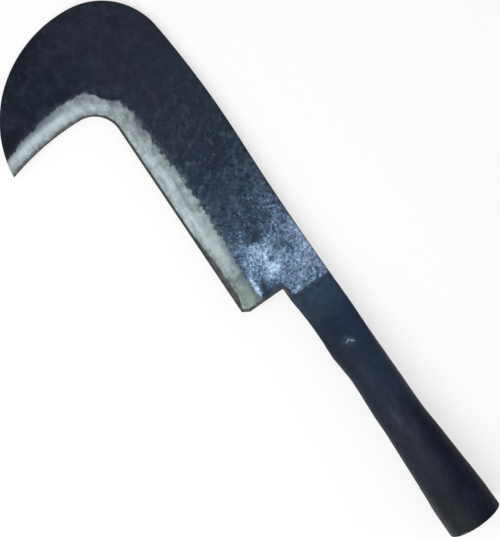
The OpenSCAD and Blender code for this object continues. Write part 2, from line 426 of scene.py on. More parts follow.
class BladeGrid:
    """Rows and stations shared by the body and the steel."""

    def __init__(self):
        runs = blade_stations()
        # The body ends where the whole width is steel, so a station is put exactly there
        gap = station_lines(runs)[2] - lamination_depth(runs)
        last = np.nonzero(gap > 0)[0][-1]
        part = gap[last] / (gap[last] - gap[last + 1])
        split = runs[last] + part * (runs[last + 1] - runs[last])
        runs = np.sort(np.concatenate([runs[np.abs(runs - split) > 0.25], [split]]))
        self.body_end = int(np.argmin(np.abs(runs - split)))
        points, into, width, slant = station_lines(runs)
        lamination = lamination_depth(runs)
        lamination[self.body_end:] = width[self.body_end:]
        width[-1] = lamination[-1] = 0.0
        x, y_edge = points[:, 0], points[:, 1]
        corner_top = HEEL_TOP_Y - HEEL_CUT_Y + (x - HEEL_X) * HEEL_CUT_Y / HEEL_CUT_X
        start = np.maximum(y_edge - corner_top, 0)
        far = width - lamination
        band_end = lamination + np.minimum(BAND_ZONE, BAND_ZONE_SHARE * far)
        rim_start = width - np.minimum(RIM_ZONE / slant, RIM_ZONE_SHARE * far)
        heel_far = y_edge[0] - band_end[0]
        heel_span = rim_start[0] - band_end[0]
        shoulder = [(heel_far - y) / heel_span for y in SHOULDER_ROWS_Y]
        plain = [q for q in FORGED_ROWS if min(abs(q - s) for s in shoulder) > 0.01 or q == 1]
        far_rows = np.array(sorted(plain + shoulder))
        rows = [start[:, None] + STEEL_ROWS * (lamination - start)[:, None],
                lamination[:, None] + BAND_ROWS * (band_end - lamination)[:, None],
                band_end[:, None] + far_rows * (rim_start - band_end)[:, None],
                rim_start[:, None] + RIM_ROWS * (width - rim_start)[:, None]]
        depth = np.concatenate(rows, 1)
        self.steel_row = len(STEEL_ROWS) - 1
        self.slot_row = self.steel_row + SLOT_ROWS
        band_row = self.steel_row + len(BAND_ROWS)
        self.shoulder_row = band_row + 1 + int(np.argmin(np.abs(far_rows - shoulder[0])))
        self.x = points[:, :1] + into[:, :1] * depth
        self.y = points[:, 1:] + into[:, 1:] * depth
        rim = (width[:, None] - depth) * slant[:, None]
        self.top = {side: finished_height(self.x, self.y, rim, side) for side in SIDES}


# Meshes

def place_object(name, data):
    placed = bpy.data.objects.new(name, data)
    bpy.context.scene.collection.objects.link(placed)
    return placed


class Shape:
    """Collects points and faces of one mesh."""

    def __init__(self):
        self.points = []
        self.faces = []
        self.size = 0

    def add(self, x, y, z):
        """Adds points and returns their numbers, in the same layout."""
        x, y, z = np.broadcast_arrays(x, y, z)
        self.points.append(np.stack([x.ravel(), y.ravel(), z.ravel()], 1))
        numbers = np.arange(self.size, self.size + x.size).reshape(x.shape)
        self.size += x.size
        return numbers

    def add_rings(self, rings):
        """Adds rings of x, y and z, one row for each."""
        return self.add(*[np.array(values) for values in zip(*rings)])

    def skin(self, numbers):
        """Quads over a layout of point numbers."""
        a, b, c, d = numbers[:-1, :-1], numbers[1:, :-1], numbers[1:, 1:], numbers[:-1, 1:]
        self.faces += np.stack([a, b, c, d], -1).reshape(-1, 4).tolist()

    def strip(self, first, second):
        self.skin(np.stack([first, second], 1))

    def cap(self, numbers):
        self.faces.append([int(k) for k in numbers])

    def piece(self, name, smooth_below=38):
        """Merges points at one place and makes the object."""
        points = np.concatenate(self.points) * MM
        mesh = bpy.data.meshes.new(name)
        shell = bmesh.new()
        made = [shell.verts.new(p) for p in points]
        for face in self.faces:
            try:
                shell.faces.new([made[k] for k in face])
            except ValueError:
                continue  # a face that repeats a point, or another face, is left out
        bmesh.ops.remove_doubles(shell, verts=shell.verts, dist=2e-6)
        bmesh.ops.dissolve_degenerate(shell, edges=shell.edges, dist=1e-6)
        loose = [v for v in shell.verts if not v.link_faces]
        bmesh.ops.delete(shell, geom=loose, context="VERTS")
        bmesh.ops.recalc_face_normals(shell, faces=shell.faces)
        shell.to_mesh(mesh)
        shell.free()
        mesh.shade_smooth()
        mesh.set_sharp_from_angle(angle=math.radians(smooth_below))
        return place_object(name, mesh)


def places(piece):
    """The piece's points in millimetres."""
    flat = np.zeros(len(piece.data.vertices) * 3)
    piece.data.vertices.foreach_get("co", flat)
    return flat.reshape(-1, 3).T / MM


def give(piece, **named):
    """Stores numbers for each point, for the material."""
    for name, values in named.items():
        layer = piece.data.attributes.new(name, "FLOAT", "POINT")
        layer.data.foreach_set("value", np.asarray(values, np.float32))


grid = BladeGrid()


def make_edge_steel():
    shape = Shape()
    low = grid.steel_row
    rows = slice(0, low + 1)
    x, y = grid.x[:, rows], grid.y[:, rows]
    face = {side: shape.add(x, y, side * grid.top[side][:, rows]) for side in SIDES}
    # Past the body's end there is no slot, and the strip ends with its face
    stations = np.arange(len(grid.x))
    root_row = np.where(stations < grid.body_end, grid.slot_row, low)
    root_x, root_y = grid.x[stations, root_row], grid.y[stations, root_row]
    root = {side: shape.add(root_x, root_y, side * grid.top[side][:, low]) for side in SIDES}
    for side in SIDES:
        shape.skin(face[side])
        shape.strip(face[side][:, -1], root[side])
    shape.strip(root[FRONT], root[BACK])
    shape.strip(face[FRONT][:, 0], face[BACK][:, 0])
    shape.cap([*face[FRONT][0], root[FRONT][0], root[BACK][0], *face[BACK][0][::-1]])
    return shape.piece("edge_steel_forged")


def root_columns():
    """Columns of points from the heel back to the tang's end inside the socket."""
    y_heel = grid.y[0, grid.shoulder_row:]
    part = (y_heel - y_heel[-1]) / (y_heel[0] - y_heel[-1])
    corner = HEEL_X - SHOULDER_R + SHOULDER_R * np.array([0.985, 0.9, 0.75, 0.5, 0.0])
    plain = np.arange(HEEL_X - SHOULDER_R - 0.6, NECK_END_X + 0.3, -0.8)
    columns = []
    for x in [*corner, *plain, NECK_END_X]:
        reach = max(x - HEEL_X + SHOULDER_R, 0)
        top = SHOULDER_Y + SHOULDER_R - math.sqrt(SHOULDER_R ** 2 - reach ** 2) if reach else SHOULDER_Y
        bottom = OUTER_START[1] + (x - NECK_END_X) * math.tan(math.radians(OUTER_HEADING))
        y = bottom + part * (top - bottom)
        row_x = np.full_like(y, x)
        columns.append((x, y, {side: finished_height(row_x, y, y - bottom, side) for side in SIDES}))
    y = TANG_Y - TANG_HALF_WIDTH + part * 2 * TANG_HALF_WIDTH
    height = {side: np.full_like(y, HALF_HEEL) for side in SIDES}
    for x in (NECK_END_X - 0.1, 172, 165, TANG_END_X):
        columns.append((x, y, height))
    return columns


def make_blade_body():
    shape = Shape()
    stations = slice(0, grid.body_end + 1)
    rows = slice(grid.steel_row, None)
    slot = grid.slot_row - grid.steel_row
    shoulder = grid.shoulder_row - grid.steel_row
    x, y = grid.x[stations, rows], grid.y[stations, rows]
    face, wall = {}, {}
    for side in SIDES:
        top = grid.top[side][stations, rows]
        face[side] = shape.add(x, y, side * top)
        lower = shape.add(x[:, 1:slot + 1], y[:, 1:slot + 1], side * top[:, :1])
        wall[side] = np.concatenate([face[side][:, :1], lower], 1)
        shape.skin(face[side])
        shape.skin(wall[side])
    front, back = face[FRONT], face[BACK]
    shape.strip(wall[FRONT][:, -1], wall[BACK][:, -1])
    shape.strip(front[:, -1], back[:, -1])
    for side in SIDES:
        shape.strip(face[side][0, :slot + 1], wall[side][0])
    shape.cap([front[0, slot], front[0, slot + 1], back[0, slot + 1], back[0, slot],
               wall[BACK][0, slot], wall[FRONT][0, slot]])
    shape.strip(front[0, slot + 1:shoulder + 1], back[0, slot + 1:shoulder + 1])
    before = {side: face[side][0, shoulder:] for side in SIDES}
    for column_x, column_y, height in root_columns():
        here = {side: shape.add(column_x, column_y, side * height[side]) for side in SIDES}
        for side in SIDES:
            shape.strip(before[side], here[side])
        for end in (0, -1):
            shape.cap([before[FRONT][end], here[FRONT][end], here[BACK][end], before[BACK][end]])
        before = here
    shape.strip(before[FRONT], before[BACK])
    return shape.piece("blade_body_forged")


def socket_table():
    """The socket's sections in even steps, their bends eased except at the neck's end."""
    xs = np.arange(-30, NECK_END_X + 30, SECTION_STEP)
    table = np.array(SOCKET_SECTIONS, float)
    kernel = np.exp(-np.linspace(-3, 3, 2 * EASING_STEPS + 1) ** 2 / 2)
    kernel /= kernel.sum()
    end = ease(xs, NECK_END_X - 8, NECK_END_X - 1)
    eased = [xs]
    for k in range(1, 5):
        values = np.interp(xs, table[:, 0], table[:, k])
        smooth = np.convolve(np.pad(values, EASING_STEPS, mode="edge"), kernel, mode="valid")
        eased.append(smooth * (1 - end) + values * end)
    return np.array(eased)


SOCKET_TABLE = socket_table()
socket_waves = Waves(61, 12, 45)
socket_dents = Waves(62, 4, 10)

# The small nick on the front of the neck, a zigzag of two strokes, on which a glint is painted as well:
# hills over x and y
HAMMER_STROKES = [(1.0, (137.9, -1.4), (2.6, 0.6), 50), (0.8, (138.9, 1.7), (2.2, 0.5), -62)]


def hammer_mark(x, y):
    return np.clip(hills(x, y, HAMMER_STROKES), 0, 1)


def socket_size(x):
    return [np.interp(x, SOCKET_TABLE[0], SOCKET_TABLE[k]) for k in range(1, 5)]


def rounded_ring(turn, a, b, square):
    """Points round a ring with these half sizes, an ellipse if square is 2 and boxier above."""
    c, s = np.cos(turn), np.sin(turn)
    reach = (np.abs(c) ** square + np.abs(s) ** square) ** (-1 / square)
    return a * reach * c, b * reach * s


def ring_turns(gap):
    """Directions from one side of the seam round to the other, gap being half its angle."""
    return np.linspace(SEAM_TURN + gap, SEAM_TURN + 2 * math.pi - gap, RING_POINTS)


def socket_dent(x, y, z, turn):
    """How far the outside lies under its smooth form: dents, the closed seam and the hammer mark."""
    around = turn * 14
    worked = ease(x, 96, 130)
    inward = 0.10 + 0.10 * socket_waves(x, around) + (0.02 + 0.05 * worked) * socket_dents(x, around)
    crease = sum(np.exp(-((turn - at) / SEAM_CREASE) ** 2) for at in (SEAM_TURN, SEAM_TURN + 2 * math.pi))
    seam = plateau(x, SEAM_END_X - 2, SEAM_END_X + 2, 140, 172)
    inward = np.clip(inward, 0, 0.5) + SEAM_CREASE_DEPTH * seam * crease
    inward = inward + STRIKE_DEPTH * hammer_mark(x, y) * (z > 0)
    return inward * plateau(x, 0, 6, NECK_END_X - 3, NECK_END_X)


def socket_ring(x, smaller, gap, rough):
    """One ring of the socket, this much smaller than its section, with the seam open by gap."""
    middle, half_width, half_height, square = socket_size(x)
    a, b = half_width - smaller, half_height - smaller
    turn = ring_turns(math.asin(min(gap / 2 / a, 1.0)))
    y, z = rounded_ring(turn, a, b, square)
    if rough:
        kept = 1 - socket_dent(x, y, z, turn) / np.hypot(y, z)
        y, z = y * kept, z * kept
    return middle + y, z


def hollow_ring(x, gap):
    """One ring of the inside: the bore, the hollow behind it, or the fit round the tang."""
    if x <= BORE_LENGTH:
        flare = MOUTH_FLARE * (1 - ease(x, 0, 0.5))
        return socket_ring(x, MOUTH_R - BORE_R - flare, gap, rough=False)
    if x < TANG_END_X:
        y, z = socket_ring(x, SHEET, gap, rough=False)
        closing = ease(x, TANG_END_X - CLOSING_LENGTH, TANG_END_X)
        narrowed = np.clip(y, TANG_Y - CLOSED_HALF_WIDTH, TANG_Y + CLOSED_HALF_WIDTH)
        limit = CLOSED_HALF_HEIGHT + OPEN_HEIGHT * (1 - closing)
        return y * (1 - closing) + closing * narrowed, np.clip(z, -limit, limit)
    y, z = rounded_ring(ring_turns(0), CAVITY_WIDE, CAVITY_HIGH, CAVITY_SQUARENESS)
    return TANG_Y + y, z


def socket_stations():
    """x of each ring, and how much smaller the outside is there."""
    rim = [(0.0, 0.60), (0.05, 0.40), (0.18, 0.20), (0.36, 0.06), (0.62, 0.0)]
    body = np.concatenate([np.arange(1.6, 100, 1.3), np.arange(100, SEAM_END_X, 0.7), [SEAM_END_X],
                           np.arange(SEAM_END_X + 0.8, NECK_END_X - 0.8, 0.8)])
    neck = ((0.5, 0.0), (0.22, 0.06), (0.06, 0.17), (0, 0.32))
    return [*rim, *[(x, 0.0) for x in body], *[(NECK_END_X - back, smaller) for back, smaller in neck]]


def make_handle_socket():
    shape = Shape()
    outside, inside, seam_rings = [], [], 0
    for x, smaller in socket_stations():
        gap = SEAM_GAP * (1 - ease(x, SEAM_END_X - 8, SEAM_END_X))
        if x < SEAM_END_X - 0.01:
            seam_rings += 1
        row_x = np.full(RING_POINTS, x)
        outside.append((row_x, *socket_ring(x, smaller, gap, rough=True)))
        inside.append((row_x, *hollow_ring(x, gap)))
    out, bore = shape.add_rings(outside), shape.add_rings(inside)
    shape.skin(out)
    shape.skin(bore)
    shape.strip(out[0], bore[0])
    shape.strip(out[-1], bore[-1])
    for end in (0, -1):
        shape.strip(out[:seam_rings + 1, end], bore[:seam_rings + 1, end])
    return shape.piece("handle_socket_rolled")


def make_neck_weld(name, side):
    """The bead across one face, a low fillet with overlapping ripples."""
    shape = Shape()
    ys = np.linspace(-NECK_BEAD_HALF, NECK_BEAD_HALF, 93)
    ripple = 0.5 + 0.5 * np.sin(ys * 2.6 + 0.8 * np.sin(ys * 0.7))
    ends = np.sqrt(np.clip(1 - (np.abs(ys) / (NECK_BEAD_HALF + 0.05)) ** 12, 0.02, 1))
    part = np.linspace(0, 1, 9)[:, None]
    rise = (NECK_BEAD_RISE - 0.10 * ripple) * ends
    reach = (NECK_BEAD_REACH - 0.16 * (1 - ripple)) * ends
    x = NECK_END_X + part * reach
    z = HALF_HEEL - 0.06 + rise * (1 - part ** 1.6) * (1 - 0.25 * np.sin(math.pi * part))
    crown = shape.add(x, ys[None, :], side * z)
    floor = shape.add(x, ys[None, :], side * (HALF_HEEL - NECK_BEAD_SINK))
    shape.skin(crown)
    shape.skin(floor)
    for end in (0, -1):
        shape.strip(crown[end], floor[end])
        shape.strip(crown[:, end], floor[:, end])
    return shape.piece(name, BEAD_SMOOTH_BELOW)


def make_seam_weld():
    """The bead along the back of the tube, round, with the scales that a weld pool leaves."""
    shape = Shape()
    turn = np.linspace(0, 2 * math.pi, 29)[:-1]
    rings = []
    for x in np.linspace(*SEAM_BEAD_X, 110):
        from_middle = abs(x - SEAM_BEAD_MIDDLE) / SEAM_BEAD_HALF
        end = math.sqrt(max(1 - from_middle ** 8, 0.03))
        scale = (x * 0.62) % 1.0
        radius = (SEAM_BEAD_R - 0.13 * scale ** 2) * end
        lean = 0.01 * math.cos(x * 0.9)
        z = SEAM_BEAD_START_Z + (x - SEAM_BEAD_START_X) * SEAM_BEAD_SLOPE
        rings.append((np.full(len(turn), x), radius * np.cos(turn + lean), z + radius * np.sin(turn)))
    skin = shape.add_rings(rings)
    shape.skin(np.concatenate([skin, skin[:, :1]], 1))
    shape.cap(skin[0])
    shape.cap(skin[-1][::-1])
    return shape.piece("seam_weld_bead", BEAD_SMOOTH_BELOW)


# Node graphs

def paint(red, green, blue):
    """A colour as it should look, from 0 to 255, in Blender's linear values."""
    values = []
    for c in (red / 255, green / 255, blue / 255):
        values.append(c / 12.92 if c <= 0.04045 else ((c + 0.055) / 1.055) ** 2.4)
    return (*values, 1.0)


class Graph:
    """The nodes of a material or of the world, written as calls."""

    def __init__(self, owner):
        owner.use_nodes = True
        self.tree = owner.node_tree
        self.tree.nodes.clear()

    def node(self, kind, inputs=None, **settings):
        """Adds a node and gives its outputs. An input is a plain value or another node's output."""
        node = self.tree.nodes.new("ShaderNode" + kind)
        for setting, value in settings.items():
            setattr(node, setting, value)
        for key, value in (inputs or {}).items():
            if isinstance(value, bpy.types.NodeSocket):
                self.tree.links.new(value, node.inputs[key])
            else:
                node.inputs[key].default_value = value
        return node.outputs

    def join(self, operation, *values):
        total = values[0]
        for value in values[1:]:
            total = self.node("Math", {0: total, 1: value}, operation=operation)[0]
        return total

    def times(self, *values):
        """The product of values. A tuple is a value and what step asks about it."""
        return self.join("MULTIPLY", *[self.step(*v) if isinstance(v, tuple) else v for v in values])

    def most(self, *values):
        return self.join("MAXIMUM", *values)

    def add(self, *values):
        """The sum of values. A pair is a noise and how far it swings to either side of zero."""
        terms = []
        for value in values:
            if isinstance(value, tuple):
                value = self.times(self.join("SUBTRACT", value[0], 0.5), 2 * value[1])
            terms.append(value)
        return self.join("ADD", *terms)

    def absolute(self, value):
        return self.node("Math", {0: value}, operation="ABSOLUTE")[0]

    def step(self, value, low, high, first=0.0, second=1.0):
        """Goes smoothly from first to second as value passes from low to high."""
        inputs = dict(enumerate((value, low, high, first, second)))
        return self.node("MapRange", inputs, interpolation_type="SMOOTHSTEP")[0]

    def seen_directly(self, *rays):
        """1 for rays that see the backdrop itself, 0 for those that gather its light."""
        path = self.node("LightPath")
        return self.most(*[path[ray] for ray in rays])


class Surface(Graph):
    """The nodes of a piece's material, with a colour that is laid on in coats."""

    def __init__(self, name):
        self.material = bpy.data.materials.new(name)
        super().__init__(self.material)
        coordinates = self.node("TexCoord")
        self.normal = coordinates["Normal"]
        self.place = self.vector("MULTIPLY", coordinates["Object"], (1 / MM, 1 / MM, 1 / MM))
        self.colour = None

    def vector(self, operation, a, b):
        return self.node("VectorMath", {0: a, 1: b}, operation=operation)[0]

    def parts(self, vector):
        """The x, y and z of a vector."""
        return tuple(self.node("SeparateXYZ", {0: vector}))

    def mix(self, first, second, *amounts):
        """Goes from one colour to another, as far as the amounts multiplied together say."""
        first, second = [paint(*c) if isinstance(c, tuple) else c for c in (first, second)]
        inputs = {0: self.times(*amounts), 6: first, 7: second}
        return self.node("Mix", inputs, data_type="RGBA")[2]

    def coat(self, over, *amounts):
        """Lays another colour over the one so far."""
        self.colour = self.mix(self.colour, over, *amounts)

    def noise(self, size, vector=None, detail=3.0, roughness=0.55):
        """Noise around 0.5 whose largest features are size millimetres."""
        inputs = {"Vector": self.place if vector is None else vector, "Scale": 1 / size}
        return self.node("TexNoise", {**inputs, "Detail": detail, "Roughness": roughness})[0]

    def moved(self, x, y):
        """Coordinates moved along the flat, so that a noise doesn't repeat another."""
        return self.vector("ADD", self.place, (x, y, 0))

    def turned(self, degrees, longer):
        """Coordinates in which features are drawn out along a direction on the flat."""
        inputs = {"Vector": self.place, "Angle": math.radians(-degrees)}
        turned = self.node("VectorRotate", inputs, rotation_type="Z_AXIS")[0]
        return self.vector("MULTIPLY", turned, (1 / longer, 1, 1))

    def attribute(self, name):
        return self.node("Attribute", attribute_name=name)["Fac"]

    def finish(self, roughness, metallic, specular, relief, depth, strength):
        """Joins it all up. relief runs from 0 to 1 and raises the surface by depth in millimetres."""
        inputs = {"Strength": strength, "Distance": depth * MM, "Height": relief}
        normal = self.node("Bump", inputs)[0]
        inputs = {"Base Color": self.colour, "Roughness": roughness, "Metallic": metallic, "Normal": normal}
        shader = self.node("BsdfPrincipled", {**inputs, "Specular IOR Level": specular})[0]
        self.node("OutputMaterial", {"Surface": shader})
        return self.material


# Colours of the blade, red, green and blue from 0 to 255

SCALE_HEEL = (46, 59, 75)
SCALE_MIDDLE = (39, 45, 57)
SCALE_NOSE = (35, 38, 50)
SCALE_BEAK = (21, 25, 37)
TEAL_BACK = (30, 50, 63)
TEAL_CLOUD = (31, 48, 58)
VIOLET_CLOUD = (41, 40, 53)
PALE_PATCH = (50, 60, 76)
DARK_PATCH = (27, 32, 43)
BRUSH_STROKE = (64, 74, 90)
PALE_GRAIN = (60, 71, 88)
# The haze and the two silvers paint the zone near the heel: partly bare metal, partly a painted reflection
# of glare
HAZE = ((72, 93, 113), (75, 90, 118))
PALE_HATCH = (86, 102, 120)
DARK_HATCH = (27, 38, 51)
DULL_SILVER = ((101, 126, 153), (105, 125, 154))
BRIGHT_SILVER = ((185, 212, 236), (188, 209, 238))
BAND_METAL = ((62, 70, 73), (164, 175, 178))
BAND_FILM = (92, 108, 120)
BAND_GREEN = (96, 114, 98)
BAND_GREY = (84, 94, 106)
# The facet at the edge: partly its own tint, partly painted shade
FACET_TINT_AND_SHADE = (58, 59, 58)
# Painted shade on the heel's bevel, over its wear
WORN_AND_SHADED_HEEL = ((66, 74, 72), (94, 90, 92))
STEEL_WALL = (88, 88, 85)
IRON_WALL = (46, 47, 50)
WALL_PATCH = (66, 66, 67)
# Painted shade along the rounded outer rim
SHADED_RIM = (44, 49, 50)

# Colours of the socket, whose base goes by x, with painted shade over the slope behind the neck and painted
# light on the flat neck, and of the welds
SOCKET_TONES = [
    (18, (24, 27, 36)), (62, (38, 43, 54)), (115, (37, 48, 63)), (154, (30, 42, 60)),
    (163, (44, 60, 78)), (178, (53, 70, 90))]
TONES_END = 180
SOCKET_CLOUD = (34, 40, 52)
# The next five colours are painted light and shade on the two sides of the tube
LIT_WARM_MOUTH_SIDE = (40, 41, 42)
SHADED_GRIP_SIDE = (31, 36, 44)
SHADED_MOUTH_SIDE = (10, 15, 32)
LIT_NECK_SIDE = (42, 60, 90)
LIT_SIDE_EDGE = (76, 82, 88)
PALE_SMEAR = (52, 58, 72)
# A painted highlight along the middle of the grip
PAINTED_GRIP_HIGHLIGHT = (68, 74, 90)
PALE_SPECK = (66, 74, 88)
DARK_FLAKE = (20, 24, 33)
PALE_FLAKE = (64, 72, 86)
INSIDE_RUST = ((64, 50, 42), (40, 37, 37))
# A painted glow round the glint on the hammer mark; the bare metal colour is wear at the mouth and a
# painted glint on the hammer mark
PAINTED_GLINT_HALO = (92, 112, 124)
BARE_METAL_AND_GLINT = (120, 132, 146)
BEAD = ((46, 60, 76), (62, 77, 95))
BEAD_SPECK = (92, 104, 120)


# Materials

def lay_scale(g):
    """Black forge scale: blue-black, teal and violet clouds, and the faint strokes of a wire brush."""
    along, across, _ = g.parts(g.place)
    g.colour = g.mix(SCALE_HEEL, SCALE_MIDDLE, (along, 245, 335))
    g.coat(SCALE_NOSE, (along, 340, 385))
    g.coat(SCALE_BEAK, (across, 30, 62), (along, 330, 360))
    g.coat(TEAL_BACK, (across, 6, -12), (along, 262, 290), (along, 385, 350), 0.4)
    clouds = g.noise(26, detail=2)
    g.coat(TEAL_CLOUD, (clouds, 0.42, 0.66), 0.4)
    other = g.noise(19, g.moved(91, 37), detail=2)
    g.coat(VIOLET_CLOUD, (other, 0.44, 0.64), 0.5)
    patches = g.noise(6, g.moved(5, 29), detail=4, roughness=0.6)
    g.coat(PALE_PATCH, (patches, 0.48, 0.62), 0.34)
    g.coat(DARK_PATCH, (patches, 0.46, 0.36), 0.4)
    strokes = g.noise(1.5, g.turned(-42, 7), roughness=0.6)
    brushed = g.step(g.noise(17, g.moved(11, 63)), 0.46, 0.62)
    clear = g.times((g.add(across, (clouds, 16)), 22, 48, 1.0, 0.3), (along, 300, 360, 1, 0.45))
    g.coat(BRUSH_STROKE, (strokes, 0.5, 0.72), brushed, clear, 0.2)
    grain = g.noise(1.1, detail=4, roughness=0.7)
    g.coat(PALE_GRAIN, (grain, 0.46, 0.72), clear, 0.42)
    return strokes, grain


def lay_silver(g, strokes, fine, blotch):
    """Silvery specks over a haze, partly bare metal and partly a painted reflection of glare, and crossed
    hatching. Gives the specks.
    """
    silver = g.attribute("silver")
    hue = g.step(g.noise(9, g.moved(23, 71), detail=2), 0.4, 0.62)
    g.coat(g.mix(*HAZE, hue), (g.add(silver, (blotch, 0.3), (fine, 0.5)), 0.05, 0.7), 0.85)
    worked = g.attribute("worked")
    hatch = g.noise(3.2, g.turned(-40, 2.2), detail=4, roughness=0.68)
    cross = g.noise(2.8, g.turned(48, 2.2), detail=4, roughness=0.68)
    g.coat(PALE_HATCH, (hatch, 0.48, 0.64), worked, 0.62)
    g.coat(DARK_HATCH, (cross, 0.52, 0.36), worked, 0.75)
    swing = g.times((silver, 0.0, 0.5, 0.35, 0.84), (silver, 0.95, 1.4, 1.0, 1.15))
    cover = g.add(silver, g.times(g.add((blotch, 0.55), (fine, 1.75), (strokes, 0.3)), swing))
    specks = g.step(cover, 0.52, 0.96)
    metal = g.mix(g.mix(*DULL_SILVER, hue), g.mix(*BRIGHT_SILVER, hue), (cover, 0.92, 1.7))
    g.coat(metal, specks)
    return specks


def lay_band(g, fine, lobes, mottled):
    """The ground metal of the band, with a darker facet at the edge, partly its own tint and partly painted
    shade. Gives how far its facet is dark.
    """
    drawn = g.noise(2.6, g.turned(-6, 7))
    light = g.add(g.attribute("tone"), (drawn, 0.34), (mottled, 0.66), (fine, 0.26))
    g.colour = g.mix(*BAND_METAL, (light, -0.1, 1.3))
    g.coat(BAND_GREEN, g.attribute("green"), (mottled, 0.35, 0.6, 0.4, 1))
    g.coat(BAND_GREY, (g.add(g.attribute("depth"), (mottled, 4)), 7.5, 12.5), g.attribute("grey"))
    dark = g.step(g.add(g.attribute("facet"), (fine, 0.45), (lobes, 0.3)), 0.1, 0.9)
    g.coat(FACET_TINT_AND_SHADE, dark, 0.92)
    return dark


def blade_material(name, wall):
    g = Surface(name)
    fine = g.noise(1.7, detail=4, roughness=0.8)
    blotch = g.noise(5.5, roughness=0.6)
    wide = g.noise(11, detail=2)
    mottled = g.noise(5, detail=4, roughness=0.62)
    lobes = g.noise(3.6, g.turned(-50, 1.4), detail=2, roughness=0.5)
    nibbled = g.noise(1.6, g.turned(-50, 2), roughness=0.6)
    strokes, grain = lay_scale(g)
    specks = lay_silver(g, strokes, fine, blotch)

    # The ground band, with a blotched border and a broken film along it
    ragged = g.attribute("ragged")
    shift = g.add(g.times(g.add((lobes, 4.2), (nibbled, 2.0)), ragged), (wide, 1.6))
    inside = g.add(g.attribute("ground"), shift)
    broken = g.step(g.add(blotch, g.times(fine, 0.3)), 0.5, 0.8, 0.15, 0.75)
    g.coat(BAND_FILM, (inside, -3.4, -0.2), broken, (ragged, 0.45, 0.9, 0.3, 1))
    forged = g.colour
    dark = lay_band(g, fine, lobes, mottled)
    band = g.step(inside, -0.7, 1.0)
    g.colour = g.mix(forged, g.colour, band)

    # The heel's bevel, with wear and painted shade, the walls, which are plainly forged, and the outer rim,
    # with painted shade
    # Painted shade on the heel's bevel, over its wear
    heel = g.step(g.add(g.attribute("heel"), (fine, 0.35)), 0.25, 0.9)
    g.coat(g.mix(*WORN_AND_SHADED_HEEL, (wide, 0.42, 0.6)), heel, 0.8)
    steep = g.step(g.absolute(g.parts(g.normal)[2]), 0.45, 0.8, 1.0, 0.0)
    g.coat(g.mix(wall, WALL_PATCH, (mottled, 0.4, 0.65)), steep, 0.8)
    # Painted shade along the rounded outer rim
    rim = g.step(g.add(g.attribute("rim"), (fine, 0.35)), 0.25, 0.9)
    g.coat(SHADED_RIM, rim, 0.8)

    bare = g.times(band, g.join("SUBTRACT", 1.0, g.most(dark, rim, heel)))
    shine = g.most(bare, g.times(specks, 0.8))
    roughness = g.add(g.step(shine, 0, 1, 0.55, 0.42), (fine, 0.08))
    metallic = g.step(shine, 0, 1, 0.0, 0.55)
    lines = g.noise(0.55, g.turned(2, 30), detail=2)
    rough = g.add(g.times(grain, 0.6), g.times(strokes, 0.5), g.times(specks, 0.5))
    relief = g.mix(rough, g.add(g.times(lines, 0.35), g.times(mottled, 0.2)), band)
    return g.finish(roughness, metallic, 0.06, relief, 0.09, 0.8)


